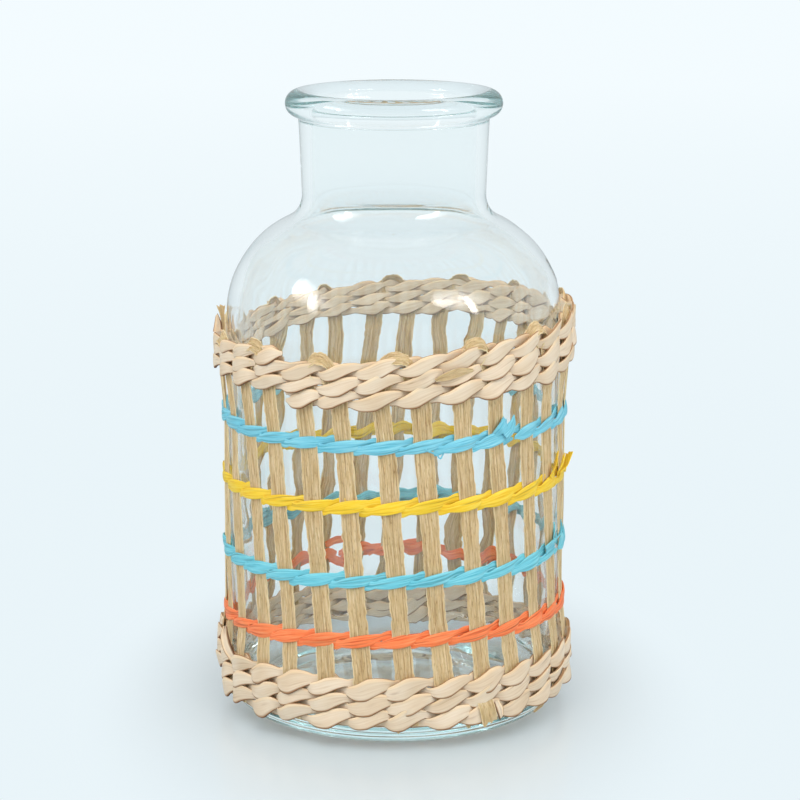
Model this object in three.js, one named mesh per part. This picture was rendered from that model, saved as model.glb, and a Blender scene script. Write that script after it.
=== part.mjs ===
// Clear glass bottle vase in an open twined sleeve: paper hairpins make the uprights, leaf bands close
// the sleeve at its top and foot, and four rows of coloured paper cord run between them.
// Millimetres, +Z up. The origin is on the table, under the middle of the base.
// Azimuths are degrees from the front (-Y) towards +X.
import * as THREE from 'three';

// Bottle
const BODY_RADIUS = 50;
const BODY_HEIGHT = 120.2; // from the table to the foot of the shoulder
const SHOULDER_RADIUS = 31.3;
const NECK_RADIUS = 27.3; // outside, at the foot of the neck
const NECK_FLARE = 0.9; // how much wider the neck is under the rim
const NECK_LENGTH = 23.1; // straight part, between its fillet and the rim
const NECK_FILLET = 8;
const RIM_OVERHANG = 3.95;
const RIM_HEIGHT = 7.75;
const LIP_INSET = 0.7; // how far the lip stands into the bore
const WALL = 3;
const HEEL_RADIUS = 7.8;
const INNER_HEEL_RADIUS = 8;
const STANDING_RING_WIDTH = 4;
const PUSH_UP_HEIGHT = 2.5;
const BASE_THICKNESS = 6;
const BOTTLE_SEGMENTS = 40;

// Strips of the sleeve
const SLEEVE_CLEARANCE = 0.3; // bottle to the innermost strand
const WEAVE_GAP = 0.3; // between strands and the strips that they cross
const ROW_GAP = 0.45; // between the turns of a leaf band
const STRIP_WIDTH = 5.2;
const STRIP_THICKNESS = 0.5;
const LEAF_THICKNESS = 1.5;
const CORD_THICKNESS = 0.7;
const CORD_HEIGHT = 2.2;
const CORD_END_GAP = 1.2; // between the two cut ends of a strand
const PINCH_MARGIN = 0.45; // past the strip's edge, where twined strands start to cross

// Hairpins
const HAIRPIN_COUNT = 14;
const FIRST_HAIRPIN_AZIMUTH = 2; // middle of the hairpin at the front, at the foot of the top band
const LEG_SPACING = 10.7;
const UPRIGHT_LEAN = 4.9; // degrees from the vertical, towards +X at the front going down
const FOOT_INSET = 0.3; // how far a cut foot stops inside the bottom band
const LOOP_WIDTH = 3.8; // of the strip where it is turned over the top band
const LOOP_TWIST = 1; // height in which the strip turns on edge
const LOOP_RISE = 2.6;
const FOLDED_LEG = 2; // the leg whose foot is folded up over the bottom row
const FOLD_DROP = 0.7;
const FOLD_LENGTH = 5;

// Leaf bands. A rise is the height gained at +X and lost at -X, a back rise what is gained behind.
const BAND_TURNS = 3;
const BOTTOM_BAND_HEIGHT = 8.1; // table to the middle of its first turn, where it starts
const BOTTOM_BAND_PITCH = 4.7;
const BOTTOM_BAND_BACK_RISE = -3.5;
const BOTTOM_BAND_BACK_PITCH = -0.5;
const BOTTOM_BAND_START = -80;
const TOP_BAND_PITCH = 4.3;
const TOP_BAND_RISE = 2.2;
const TOP_BAND_PITCH_RISE = 0.8;
const TOP_BAND_BACK_RISE = 5.8;
const TOP_BAND_BACK_PITCH = -0.8;
const TOP_BAND_START = -36;

// Coloured rows, from the bottom band up
const BAND_TO_ORANGE = 11.1;
const ORANGE_TO_LOWER_BLUE = 18.1;
const LOWER_BLUE_TO_YELLOW = 22.1;
const YELLOW_TO_UPPER_BLUE = 17.7;
const UPPER_BLUE_TO_BAND = 13.6;
const ORANGE_RISE = 2.4;
const LOWER_BLUE_RISE = 1.2;
const YELLOW_RISE = 1.1;
const UPPER_BLUE_RISE = 0.3;

const UP = new THREE.Vector3(0, 0, 1);
const { degToRad, radToDeg, euclideanModulo } = THREE.MathUtils;

// Directions and places round the bottle
function outward(azimuth) {
  const turn = degToRad(azimuth);
  return new THREE.Vector3(Math.sin(turn), -Math.cos(turn), 0);
}

function sideways(azimuth) {
  return outward(azimuth + 90);
}

function place(azimuth, radius, height) {
  return outward(azimuth).multiplyScalar(radius).setZ(height);
}

function sideRise(azimuth) {
  return Math.sin(degToRad(azimuth));
}

function backShare(azimuth) {
  return ((1 - Math.cos(degToRad(azimuth))) / 2) ** 2;
}

// Radii of the middle of the uprights, between the inner and the outer strands
function uprightRadius(strandThickness) {
  return BODY_RADIUS + SLEEVE_CLEARANCE + strandThickness + WEAVE_GAP + STRIP_THICKNESS / 2;
}

function strandOffset(strandThickness) {
  return STRIP_THICKNESS / 2 + WEAVE_GAP + strandThickness / 2;
}

const bandRadius = uprightRadius(LEAF_THICKNESS);
const rowRadius = uprightRadius(CORD_THICKNESS);

// Heights of the coloured rows and of the top band
const bottomBandTop = BOTTOM_BAND_HEIGHT + BAND_TURNS * BOTTOM_BAND_PITCH;
const orangeHeight = bottomBandTop + BAND_TO_ORANGE;
const lowerBlueHeight = orangeHeight + ORANGE_TO_LOWER_BLUE;
const yellowHeight = lowerBlueHeight + LOWER_BLUE_TO_YELLOW;
const upperBlueHeight = yellowHeight + YELLOW_TO_UPPER_BLUE;
const topBandHeight = upperBlueHeight + UPPER_BLUE_TO_BAND;

const rows = [
  { name: 'orange', height: orangeHeight, rise: ORANGE_RISE, join: -158, colour: 0xff7a45 },
  { name: 'lower_blue', height: lowerBlueHeight, rise: LOWER_BLUE_RISE, join: 72, colour: 0x58bfdc },
  { name: 'yellow', height: yellowHeight, rise: YELLOW_RISE, join: 80, colour: 0xffd92e },
  { name: 'upper_blue', height: upperBlueHeight, rise: UPPER_BLUE_RISE, join: 40, colour: 0x5cc8ee },
];

// Uprights are numbered on round the sleeve, two to a hairpin, and lean as they go down
function uprightAzimuth(upright, height) {
  const hairpin = Math.floor(upright / 2);
  const side = upright - 2 * hairpin === 0 ? -1 : 1;
  const drift = Math.tan(degToRad(UPRIGHT_LEAN)) * (topBandHeight - height);
  const along = side * LEG_SPACING / 2 + drift;
  return FIRST_HAIRPIN_AZIMUTH + hairpin * 360 / HAIRPIN_COUNT + radToDeg(along / bandRadius);
}

function firstUprightAfter(azimuth, height) {
  let upright = -2 * HAIRPIN_COUNT;
  while (uprightAzimuth(upright, height) < azimuth) upright += 1;
  return upright;
}

function gapAzimuth(upright, height) {
  return (uprightAzimuth(upright - 1, height) + uprightAzimuth(upright, height)) / 2;
}

// A leaf band climbs one pitch in each turn, from the gap before its first upright
function makeBand(name, height, pitch, startsNear, { rise, pitchRise, backRise, backPitch }) {
  const firstUpright = firstUprightAfter(startsNear, height);
  const start = gapAzimuth(firstUpright, height);
  return { name, height, pitch, rise, pitchRise, backRise, backPitch, firstUpright, start };
}

function bandPitch(band, azimuth) {
  return band.pitch + band.pitchRise * sideRise(azimuth) + band.backPitch * backShare(azimuth);
}

function bandRowHeight(band, azimuth, turns) {
  const tilt = band.rise * sideRise(azimuth) + band.backRise * backShare(azimuth);
  return band.height + tilt + turns * bandPitch(band, azimuth);
}

// Lowest and highest edge of a band at one upright
function bandEdges(band, upright) {
  const azimuth = uprightAzimuth(upright, band.height);
  const firstTurn = euclideanModulo(azimuth - band.start, 360) / 360;
  const halfPitch = bandPitch(band, azimuth) / 2;
  const lowest = bandRowHeight(band, azimuth, firstTurn) - halfPitch;
  const highest = bandRowHeight(band, azimuth, firstTurn + BAND_TURNS - 1) + halfPitch;
  return [lowest, highest];
}

const bottomBand = makeBand('bottom', BOTTOM_BAND_HEIGHT, BOTTOM_BAND_PITCH, BOTTOM_BAND_START, {
  rise: 0,
  pitchRise: 0,
  backRise: BOTTOM_BAND_BACK_RISE,
  backPitch: BOTTOM_BAND_BACK_PITCH,
});
const topBand = makeBand('top', topBandHeight, TOP_BAND_PITCH, TOP_BAND_START, {
  rise: TOP_BAND_RISE,
  pitchRise: TOP_BAND_PITCH_RISE,
  backRise: TOP_BAND_BACK_RISE,
  backPitch: TOP_BAND_BACK_PITCH,
});

// Flat sections are lofted into one closed strip. Across is half the strip's width, as a vector.
function section(centre, along, across, thickness) {
  const through = along.clone().cross(across).setLength(thickness / 2);
  return [
    centre.clone().add(through).sub(across),
    centre.clone().add(through).add(across),
    centre.clone().sub(through).add(across),
    centre.clone().sub(through).sub(across),
  ];
}

function loft(sections) {
  const corners = sections.flat();
  const faces = [];
  for (let start = 0; start + 4 < corners.length; start += 4) {
    for (let side = 0; side < 4; side += 1) {
      const near = start + side;
      const beside = start + (side + 1) % 4;
      faces.push(near, near + 4, beside + 4, near, beside + 4, beside);
    }
  }
  const last = corners.length - 4;
  faces.push(0, 1, 2, 0, 2, 3, last, last + 2, last + 1, last, last + 3, last + 2);
  const geometry = new THREE.BufferGeometry().setFromPoints(corners);
  geometry.setIndex(faces);
  geometry.computeVertexNormals();
  return geometry;
}

// One of the two strands twined along a row: outside one upright, inside the next. It rises to the
// right outside, falls inside, and crosses its partner between the uprights.
function twinedStrand(strand, lay) {
  const offset = strandOffset(lay.thickness);
  const edge = radToDeg((STRIP_WIDTH / 2 + PINCH_MARGIN) / lay.radius);
  const endInset = radToDeg(CORD_END_GAP / 2 / lay.radius);
  const sections = [];
  const addSection = (azimuth, reach, climb, halfHeight) => {
    const centre = place(azimuth, lay.radius + reach, lay.heightAt(azimuth) + climb);
    sections.push(section(centre, sideways(azimuth), UP.clone().setLength(halfHeight), lay.thickness));
  };
  const addEnd = (upright, inset, side) => {
    const azimuth = gapAzimuth(upright, lay.heightAt(gapAzimuth(upright, lay.level))) + inset;
    const { pinch, lift } = lay.sizeAt(azimuth);
    addSection(azimuth, 0, side * lift, pinch);
  };
  const sideOf = (crossing) => ((crossing + strand) % 2 === 0 ? 1 : -1);
  addEnd(lay.firstUpright, endInset, -sideOf(0));
  for (let crossing = 0; crossing < lay.crossings; crossing += 1) {
    const upright = lay.firstUpright + crossing;
    const side = sideOf(crossing);
    const middle = uprightAzimuth(upright, lay.heightAt(uprightAzimuth(upright, lay.level)));
    const { front, pinch, lift } = lay.sizeAt(middle);
    for (const step of lay.steps) {
      addSection(middle + step * edge, side * offset, side * step * lift, step === 0 ? front : pinch);
    }
  }
  addEnd(lay.firstUpright + lay.crossings, -endInset, sideOf(lay.crossings - 1));
  return loft(sections);
}

function leafLay(band) {
  return {
    radius: bandRadius,
    thickness: LEAF_THICKNESS,
    level: band.height,
    firstUpright: band.firstUpright,
    crossings: 2 * HAIRPIN_COUNT * BAND_TURNS,
    steps: [-1, 0, 1],
    heightAt: (azimuth) => bandRowHeight(band, azimuth, (azimuth - band.start) / 360),
    sizeAt: (azimuth) => {
      const front = (bandPitch(band, azimuth) - ROW_GAP) / 2;
      const pinch = (front - WEAVE_GAP / 2) / 2;
      return { front, pinch, lift: pinch + WEAVE_GAP / 2 };
    },
  };
}

function cordLay(row) {
  const half = CORD_HEIGHT / 2;
  return {
    radius: rowRadius,
    thickness: CORD_THICKNESS,
    level: row.height,
    firstUpright: firstUprightAfter(row.join, row.height),
    crossings: 2 * HAIRPIN_COUNT,
    steps: [-1, 1],
    heightAt: (azimuth) => row.height + row.rise * sideRise(azimuth),
    sizeAt: () => ({ front: half, pinch: half, lift: half + WEAVE_GAP / 2 }),
  };
}

// A leg stands in the bands at one radius and in the coloured rows at a smaller one
function legStations(upright) {
  const [footHeight, bottomTop] = bandEdges(bottomBand, upright);
  const [topFoot, topTop] = bandEdges(topBand, upright);
  const inRows = rows.map((row) => {
    const azimuth = uprightAzimuth(upright, row.height);
    return { height: row.height + row.rise * sideRise(azimuth), radius: rowRadius };
  });
  return [
    { height: footHeight + FOOT_INSET, radius: bandRadius },
    { height: bottomTop, radius: bandRadius },
    ...inRows,
    { height: topFoot, radius: bandRadius },
    { height: topTop, radius: bandRadius },
  ];
}

// The folded foot goes out under the bottom row and up over its outer strand
function foldedFoot(upright) {
  const [footHeight] = bandEdges(bottomBand, upright);
  const outerReach = strandOffset(LEAF_THICKNESS) + LEAF_THICKNESS / 2 + WEAVE_GAP + STRIP_THICKNESS / 2;
  const azimuth = uprightAzimuth(upright, footHeight);
  const corner = FOLD_DROP / 2;
  const across = sideways(azimuth).multiplyScalar(STRIP_WIDTH / 2);
  const route = [
    [outerReach, FOLD_LENGTH, UP.clone().negate()],
    [outerReach, 0, UP.clone().negate()],
    [outerReach - corner, -FOLD_DROP, outward(azimuth).negate().sub(UP)],
    [corner, -FOLD_DROP, outward(azimuth).negate().add(UP)],
  ];
  return route.map(([reach, climb, along]) =>
    section(place(azimuth, bandRadius + reach, footHeight + climb), along, across, STRIP_THICKNESS));
}

function hairpin(number) {
  const legs = [2 * number, 2 * number + 1];
  const loopFoot = Math.max(...legs.map((leg) => bandEdges(topBand, leg)[1])) + LOOP_TWIST;
  const legSections = legs.map((leg, second) => {
    const heading = second ? -1 : 1;
    return legStations(leg).map(({ height, radius }) => {
      const azimuth = uprightAzimuth(leg, height);
      const across = sideways(azimuth).multiplyScalar(heading * STRIP_WIDTH / 2);
      const along = UP.clone().multiplyScalar(heading);
      return section(place(azimuth, radius, height), along, across, STRIP_THICKNESS);
    });
  });
  // Half way through its twist the strip stands diagonally, between flat and on edge
  const twistSections = legs.map((leg, second) => {
    const heading = second ? -1 : 1;
    const height = loopFoot - LOOP_TWIST / 2;
    const azimuth = uprightAzimuth(leg, height);
    const across = sideways(azimuth).multiplyScalar(heading).add(outward(azimuth)).setLength(LOOP_WIDTH / 2);
    const along = UP.clone().multiplyScalar(heading);
    return section(place(azimuth, bandRadius, height), along, across, STRIP_THICKNESS);
  });
  const middle = (uprightAzimuth(legs[0], loopFoot) + uprightAzimuth(legs[1], loopFoot)) / 2;
  const loopSections = [0, 30, 60, 90, 120, 150, 180].map((degrees) => {
    const turn = degToRad(degrees);
    const azimuth = middle - radToDeg(LEG_SPACING / 2 * Math.cos(turn) / bandRadius);
    const along = sideways(azimuth).multiplyScalar(LEG_SPACING / 2 * Math.sin(turn));
    along.addScaledVector(UP, LOOP_RISE * Math.cos(turn));
    const across = outward(azimuth).multiplyScalar(LOOP_WIDTH / 2);
    const centre = place(azimuth, bandRadius, loopFoot + LOOP_RISE * Math.sin(turn));
    return section(centre, along, across, STRIP_THICKNESS);
  });
  return loft([
    ...(legs[0] === FOLDED_LEG ? foldedFoot(legs[0]) : []),
    ...legSections[0],
    twistSections[0],
    ...loopSections,
    twistSections[1],
    ...legSections[1].reverse(),
  ]);
}

// The bottle is one turned profile: up the outside, over the rim and down the inside
function arc(centreRadius, centreHeight, reach, rise, from, to, steps) {
  return Array.from({ length: steps + 1 }, (_, step) => {
    const turn = degToRad(from + (to - from) * step / steps);
    return new THREE.Vector2(centreRadius + reach * Math.cos(turn), centreHeight + rise * Math.sin(turn));
  });
}

function bottle() {
  const shoulderMiddle = BODY_RADIUS - SHOULDER_RADIUS;
  const filletMiddle = NECK_RADIUS + NECK_FILLET;
  const sweep = radToDeg(Math.acos((filletMiddle - shoulderMiddle) / (SHOULDER_RADIUS + NECK_FILLET)));
  const filletHeight = BODY_HEIGHT + (SHOULDER_RADIUS + NECK_FILLET) * Math.sin(degToRad(sweep));
  const neckTop = filletHeight + NECK_LENGTH;
  const rimMiddle = NECK_RADIUS + NECK_FLARE;
  const rimHalf = RIM_HEIGHT / 2;
  const lipReach = WALL + LIP_INSET;
  const ringOuter = BODY_RADIUS - HEEL_RADIUS;
  const ringInner = ringOuter - STANDING_RING_WIDTH;
  const innerRadius = BODY_RADIUS - WALL;
  const floorRadius = innerRadius - INNER_HEEL_RADIUS;
  const floorHeight = BASE_THICKNESS + INNER_HEEL_RADIUS;
  const innerShoulder = SHOULDER_RADIUS - WALL;
  const innerFillet = NECK_FILLET + WALL;
  const crown = (radius) => PUSH_UP_HEIGHT * (1 - (radius / ringInner) ** 2);
  const profile = [
    new THREE.Vector2(0, PUSH_UP_HEIGHT),
    new THREE.Vector2(ringInner / 2, crown(ringInner / 2)),
    new THREE.Vector2(ringInner, 0),
    ...arc(ringOuter, HEEL_RADIUS, HEEL_RADIUS, HEEL_RADIUS, -90, 0, 4),
    ...arc(shoulderMiddle, BODY_HEIGHT, SHOULDER_RADIUS, SHOULDER_RADIUS, 0, sweep, 7),
    ...arc(filletMiddle, filletHeight, NECK_FILLET, NECK_FILLET, 180 + sweep, 180, 3).slice(1),
    ...arc(rimMiddle, neckTop + rimHalf, RIM_OVERHANG, rimHalf, -90, 90, 8),
    ...arc(rimMiddle, neckTop + rimHalf, lipReach, rimHalf, 90, 180, 3).slice(1),
    ...arc(filletMiddle, filletHeight, innerFillet, innerFillet, 180, 180 + sweep, 3),
    ...arc(shoulderMiddle, BODY_HEIGHT, innerShoulder, innerShoulder, sweep, 0, 6).slice(1),
    ...arc(floorRadius, floorHeight, INNER_HEEL_RADIUS, INNER_HEEL_RADIUS, 0, -90, 3),
    new THREE.Vector2(ringInner / 2, BASE_THICKNESS + crown(ringInner / 2)),
    new THREE.Vector2(0, BASE_THICKNESS + PUSH_UP_HEIGHT),
  ];
  return new THREE.LatheGeometry(profile, BOTTLE_SEGMENTS).rotateX(Math.PI / 2);
}

// Finishes and assembly
function addPiece(group, name, geometry, colour, roughness, more = {}) {
  const material = new THREE.MeshStandardMaterial({ color: colour, roughness, metalness: 0, ...more });
  const piece = new THREE.Mesh(geometry, material);
  piece.name = name;
  group.add(piece);
}

const PAPER_COLOUR = 0xcdb280;
const LEAF_COLOUR = 0xe8d6bc;
const GLASS_COLOUR = 0xe4f1f0;

const sleeve = new THREE.Group();
for (let number = 0; number < HAIRPIN_COUNT; number += 1) {
  const label = String(number + 1).padStart(2, '0');
  addPiece(sleeve, `paper_hairpin_${label}`, hairpin(number), PAPER_COLOUR, 0.85);
}
for (const band of [topBand, bottomBand]) {
  for (const strand of [0, 1]) {
    const name = `${band.name}_band_leaf_${strand + 1}`;
    addPiece(sleeve, name, twinedStrand(strand, leafLay(band)), LEAF_COLOUR, 0.6);
  }
}
for (const row of rows) {
  for (const strand of [0, 1]) {
    const name = `${row.name}_strand_${strand + 1}`;
    addPiece(sleeve, name, twinedStrand(strand, cordLay(row)), row.colour, 0.55);
  }
}

const vase = new THREE.Group();
addPiece(vase, 'glass_bottle', bottle(), GLASS_COLOUR, 0.03, { transparent: true, opacity: 0.35 });
vase.add(sleeve);

export default vase;
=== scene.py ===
"""Looks of the bottle vase: a clear glass bottle in an open twined sleeve of paper and leaf."""
import bpy
import math
import numpy as np
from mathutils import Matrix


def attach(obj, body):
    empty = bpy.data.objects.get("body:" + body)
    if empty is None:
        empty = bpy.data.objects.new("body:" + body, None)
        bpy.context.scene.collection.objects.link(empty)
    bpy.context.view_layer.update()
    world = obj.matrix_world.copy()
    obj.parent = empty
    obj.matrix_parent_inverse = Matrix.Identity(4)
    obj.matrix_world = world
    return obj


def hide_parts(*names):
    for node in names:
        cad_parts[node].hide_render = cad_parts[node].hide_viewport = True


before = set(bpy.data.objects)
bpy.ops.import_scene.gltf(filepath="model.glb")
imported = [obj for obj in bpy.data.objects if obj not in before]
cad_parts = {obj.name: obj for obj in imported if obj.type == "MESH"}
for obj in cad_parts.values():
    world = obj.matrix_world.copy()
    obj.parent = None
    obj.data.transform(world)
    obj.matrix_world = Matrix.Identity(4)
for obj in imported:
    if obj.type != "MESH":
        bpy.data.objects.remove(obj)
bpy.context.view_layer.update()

# Sizes are in millimetres and angles in degrees. Meshes are laid in metres.
MM = 0.001
SEED = 41
MERGE_GAP = 0.001
SMOOTH_ANGLE = 60.0

# Bottle
BODY_RADIUS = 50.0
BODY_HEIGHT = 120.2
SHOULDER_RADIUS = 31.3
NECK_RADIUS = 27.3
NECK_FLARE = 0.9
NECK_LENGTH = 23.1
NECK_FILLET = 8.0
RIM_OVERHANG = 3.95
RIM_HEIGHT = 7.75
RIM_FILLET = 1.6
LIP_INSET = 0.7
LIP_DROP = 2.5
LIP_EDGE_ANGLE = 145.0
WALL = 3.0
HEEL_RADIUS = 7.8
INNER_HEEL_RADIUS = 8.0
STANDING_RING_WIDTH = 4.0
PUSH_UP_HEIGHT = 2.5
BASE_THICKNESS = 6.0
BOTTLE_SIDES = 144

# Slight waves in the glass, which fade in above the base and out on the shoulder
OUTER_WAVE = 0.012
INNER_WAVE = 0.03
WAVE_COUNT = 10
WAVE_LOBES = (6, 20)
WAVE_LENGTHS = (13, 34)
WAVE_FOOT = (8, 22)
WAVE_TOP = (144, 156)

# Strips of the sleeve
STRIP_WIDTH = 5.2
STRIP_THICKNESS = 0.3
BAND_RADIUS = 52.35
ROW_RADIUS = 51.1
LEAF_THICKNESS = 1.05
LEAF_OFFSET = 1.3
RAFFIA_THICKNESS = 0.65
RAFFIA_OFFSET = 0.58
RAFFIA_HEIGHT = 4.3

# Hairpins. Azimuths are degrees from the front towards +X.
HAIRPIN_COUNT = 14
FIRST_HAIRPIN_AZIMUTH = 2.0
LEG_SPACING = 11.2
UPRIGHT_LEAN = 4.9
LOOP_SPAN = 6.8
LOOP_WIDTH = 3.8
LOOP_TWIST = 1.5
LOOP_SINK = 1.9
LOOP_RISE = 2.4
LOOP_RISE_SPREAD = 0.18
LOOP_LEAN = 58.0
LOOP_LEAN_SPREAD = 8.0
LOOP_REACH = 0.5

# Bands and rows: height at the front, and height gained at +X, at both sides and at the back.
# The weavers of a band start near one azimuth, and the ends of a row meet at its join.
BAND_TURNS = 3
BOTTOM_BAND = {
    "height": 8.8, "pitch": 4.7, "rise": 0.0, "pitch_rise": 0.0,
    "back_rise": -1.8, "back_pitch": -0.5, "near": -80,
}
TOP_BAND = {
    "height": 104.8, "pitch": 4.3, "rise": 2.2, "pitch_rise": 0.8,
    "back_rise": 5.8, "back_pitch": -0.8, "near": -36,
}
ROWS = {
    "orange": {"height": 33.3, "rise": 1.6, "sides": -1.6, "join": -158},
    "lower_blue": {"height": 50.9, "rise": 1.2, "sides": 0.0, "join": 72},
    "yellow": {"height": 72.7, "rise": 1.0, "sides": 0.0, "join": 80},
    "upper_blue": {"height": 90.5, "rise": 0.4, "sides": 0.8, "join": 40},
}


# Directions and places round the bottle
def outward(azimuth):
    turn = np.radians(azimuth)
    return np.stack([np.sin(turn), -np.cos(turn), np.zeros_like(turn)], axis=-1)


def sideways(azimuth):
    return outward(np.asarray(azimuth, float) + 90)


def place(azimuth, radius, height):
    point = outward(azimuth) * np.asarray(radius, float)[..., None]
    point[..., 2] += height
    return point


def side_rise(azimuth):
    return np.sin(np.radians(azimuth))


def back_share(azimuth):
    return ((1 - np.cos(np.radians(azimuth))) / 2) ** 2


def unit(vectors):
    return vectors / np.linalg.norm(vectors, axis=-1, keepdims=True)


def ease(fraction):
    fraction = np.clip(fraction, 0, 1)
    return fraction * fraction * (3 - 2 * fraction)


def wander(rng, places):
    """A smooth random curve with one seeded value at each whole number."""
    steps = np.floor(places).astype(int)
    values = rng.normal(size=steps.max() - steps.min() + 2)
    near = steps - steps.min()
    share = ease(places - steps)
    return values[near] * (1 - share) + values[near + 1] * share


def wanders(rng, distance, waves):
    """A sum of smooth random curves, each with its depth and its length."""
    return sum(depth * wander(rng, distance / length) for depth, length in waves)


def smooth_rows(values, reach):
    padded = np.pad(values, ((reach, reach), (0, 0)), mode="edge")
    kernel = np.full(2 * reach + 1, 1 / (2 * reach + 1))
    return np.stack([np.convolve(column, kernel, mode="valid") for column in padded.T], axis=-1)


# Uprights and rows of the sleeve
def upright_azimuth(upright, height):
    """Azimuth of an upright's middle. The even ones are the hairpins' left legs."""
    upright = np.asarray(upright)
    hairpin = upright // 2
    side = np.where(upright % 2 == 0, -1, 1)
    drift = math.tan(math.radians(UPRIGHT_LEAN)) * (TOP_BAND["height"] - height)
    along = side * LEG_SPACING / 2 + drift
    return FIRST_HAIRPIN_AZIMUTH + hairpin * 360 / HAIRPIN_COUNT + np.degrees(along / BAND_RADIUS)


def first_upright_after(azimuth, height):
    upright = -2 * HAIRPIN_COUNT
    while upright_azimuth(upright, height) < azimuth:
        upright += 1
    return upright


def band_start(band):
    """First upright that a band's weavers cross, and the azimuth where they start."""
    first = first_upright_after(band["near"], band["height"])
    edges = upright_azimuth(np.array([first - 1, first]), band["height"])
    return first, edges.mean()


def band_pitch(band, azimuth):
    spread = band["pitch_rise"] * side_rise(azimuth) + band["back_pitch"] * back_share(azimuth)
    return band["pitch"] + spread


def band_height(band, azimuth, turns):
    tilt = band["rise"] * side_rise(azimuth) + band["back_rise"] * back_share(azimuth)
    return band["height"] + tilt + turns * band_pitch(band, azimuth)


def row_height(row, azimuth):
    side = side_rise(azimuth)
    return row["height"] + row["rise"] * side + row["sides"] * side * side


def band_edges(band, upright):
    """Heights of a band's lower and upper edge at one upright."""
    azimuth = upright_azimuth(upright, band["height"])
    turn = ((azimuth - band_start(band)[1]) % 360) / 360
    half = band_pitch(band, azimuth) / 2
    lowest = band_height(band, azimuth, turn) - half
    highest = band_height(band, azimuth, turn + BAND_TURNS - 1) + half
    return float(lowest), float(highest)


# Meshes
def start_piece(name):
    """Names the object that was just added."""
    piece = bpy.context.object
    piece.name = name
    piece.data.name = name
    return piece


def grid_piece(name, along, across):
    """A flat grid with its own UV map, and the two grid places of every vertex from 0 to 1."""
    bpy.ops.object.select_all(action="DESELECT")
    bpy.ops.mesh.primitive_grid_add(x_subdivisions=along, y_subdivisions=across, size=1)
    piece = start_piece(name)
    points = np.empty(len(piece.data.vertices) * 3)
    piece.data.vertices.foreach_get("co", points)
    points = points.reshape(-1, 3)
    return piece, points[:, 0] + 0.5, points[:, 1] + 0.5


def lay_points(piece, points):
    piece.data.vertices.foreach_set("co", (np.asarray(points) * MM).ravel())
    piece.data.update()


def move_uvs(piece, shift, stretch=1.0, sides=(0.0, 1.0)):
    """Moves the UV map along, so that pieces of one material don't repeat each other."""
    layer = piece.data.uv_layers.active.data
    uvs = np.empty(len(layer) * 2)
    layer.foreach_get("uv", uvs)
    uvs[0::2] = uvs[0::2] * stretch + shift
    uvs[1::2] = sides[0] + uvs[1::2] * (sides[1] - sides[0])
    layer.foreach_set("uv", uvs)


def mark_crease_shade(piece, creases):
    """Keeps how deep in a crease each vertex lies, for the material to darken there as painted shade.
    """
    layer = piece.data.attributes.new("crease", "FLOAT", "POINT")
    layer.data.foreach_set("value", np.clip(creases, 0, 1))


def close_tube():
    """Joins the long edges of the grid that was just laid and closes both ends."""
    bpy.ops.object.mode_set(mode="EDIT")
    bpy.ops.mesh.select_all(action="SELECT")
    bpy.ops.mesh.remove_doubles(threshold=MERGE_GAP * MM)
    bpy.ops.mesh.fill_holes(sides=0)
    bpy.ops.mesh.select_all(action="SELECT")
    bpy.ops.mesh.normals_make_consistent(inside=False)
    bpy.ops.object.mode_set(mode="OBJECT")
    bpy.ops.object.shade_smooth_by_angle(angle=math.radians(SMOOTH_ANGLE))


def thicken(piece, thickness):
    solid = piece.modifiers.new("thickness", "SOLIDIFY")
    solid.thickness = thickness * MM
    solid.offset = 0
    bpy.ops.object.modifier_apply(modifier=solid.name)
    bpy.ops.object.shade_smooth_by_angle(angle=math.radians(SMOOTH_ANGLE))


def finish_piece(piece, material, body, slot, *nodes):
    piece.data.materials.clear()
    piece.data.materials.append(material)
    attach(piece, body)
    if nodes:
        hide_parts(*nodes)


# Materials
WHITE = (1, 1, 1)
GLASS_COLOUR = (0.945, 0.965, 0.965)
GLASS_INDEX = 1.5
GLASS_TINT = (0.6, 0.85, 0.86)
GLASS_TINT_DENSITY = 6.0
STRIP_SHEEN = 0.3
SUBSURFACE_RADIUS = (1.0, 0.8, 0.6)
SUBSURFACE_SCALE = 0.5
# Where the painted highlight along both edges of a paper strip begins, and how fast it comes in
EDGE_HIGHLIGHT_START = 0.445
EDGE_HIGHLIGHT_CONTRAST = 14.0


def make_material(name):
    material = bpy.data.materials.new(name)
    material.use_nodes = True
    material.node_tree.nodes.clear()
    return material, material.node_tree


def add_node(tree, kind, links=None, values=None, **settings):
    node = tree.nodes.new(kind)
    for setting, value in settings.items():
        setattr(node, setting, value)
    for socket, value in (values or {}).items():
        node.inputs[socket].default_value = value
    for socket, source in (links or {}).items():
        tree.links.new(source, node.inputs[socket])
    return node


def colour_ramp(tree, source, stops):
    ramp = add_node(tree, "ShaderNodeValToRGB", {"Fac": source})
    elements = ramp.color_ramp.elements
    while len(elements) < len(stops):
        elements.new(0.5)
    for element, (position, colour) in zip(elements, stops):
        element.position = position
        element.color = (*colour, 1)
    return ramp.outputs["Color"]


def uv_noise(tree, scale, detail, distortion=0.0):
    """Noise with its own scale along a strip and across it."""
    uv = add_node(tree, "ShaderNodeTexCoord").outputs["UV"]
    mapping = add_node(tree, "ShaderNodeMapping", {"Vector": uv}, {"Scale": scale})
    noise = add_node(
        tree, "ShaderNodeTexNoise", {"Vector": mapping.outputs["Vector"]},
        {"Scale": 1.0, "Detail": detail, "Roughness": 0.6, "Distortion": distortion})
    return noise.outputs["Fac"]


def uv_across(tree):
    uv = add_node(tree, "ShaderNodeTexCoord").outputs["UV"]
    return add_node(tree, "ShaderNodeSeparateXYZ", {"Vector": uv}).outputs["Y"]


# How deep in a crease a point lies, which the materials darken as painted shade
def crease_shade_of(tree):
    return add_node(tree, "ShaderNodeAttribute", attribute_name="crease").outputs["Fac"]


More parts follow.
